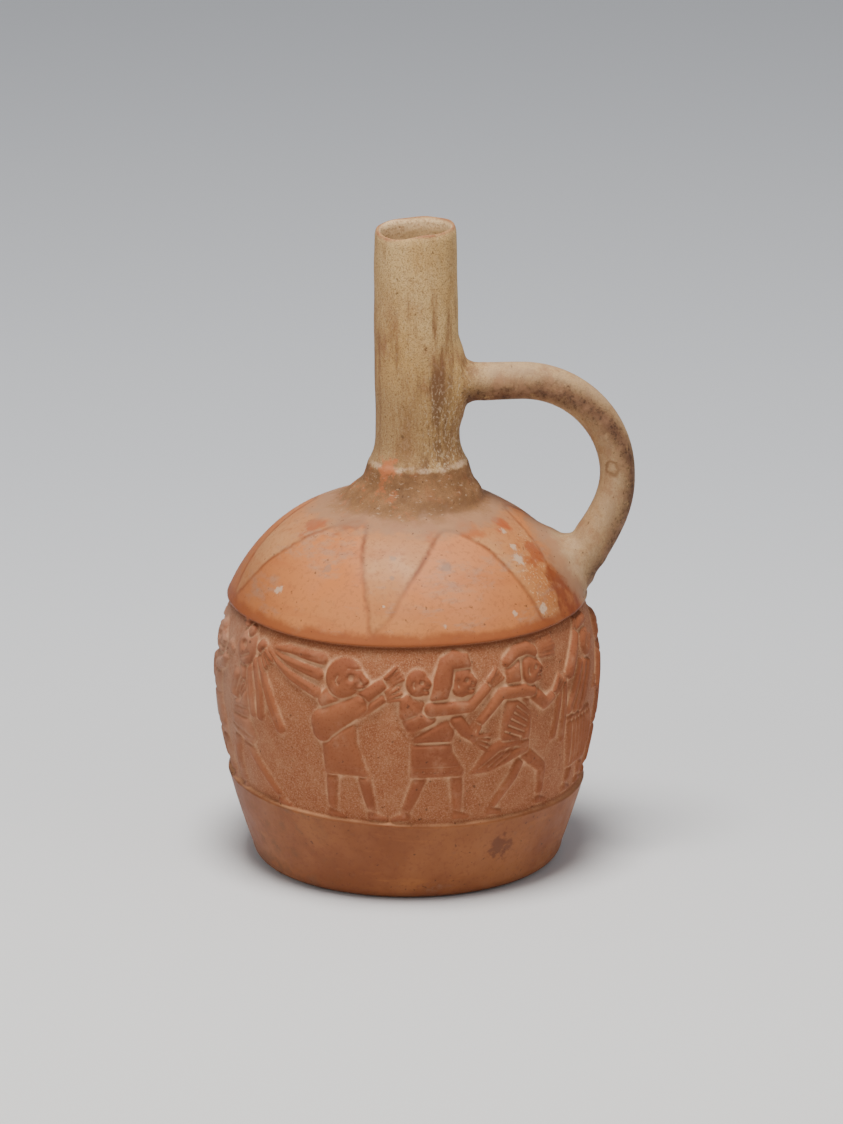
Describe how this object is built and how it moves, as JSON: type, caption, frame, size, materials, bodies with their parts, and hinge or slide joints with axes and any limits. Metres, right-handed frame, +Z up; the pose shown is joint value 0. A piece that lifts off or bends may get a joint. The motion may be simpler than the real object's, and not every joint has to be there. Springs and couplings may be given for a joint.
{
  "type": "handled relief bottle",
  "caption": "Hollow clay bottle with a round body, a frieze of dancing figures in low relief, a tall open spout and a loop handle at the side.",
  "frame": {"origin": "middle of the flat underside, on the body's turning axis", "axes": "+Z up along the bottle, +X towards the handle, -Y the front of the frieze"},
  "size_m": [0.1422, 0.1309, 0.2199],
  "materials": {
    "fired_clay": "burnished red slip on the body, worn cream slip on the spout and handle"
  },
  "bodies": {
    "root": {"bottle": "fired_clay"}
  },
  "joints": []
}
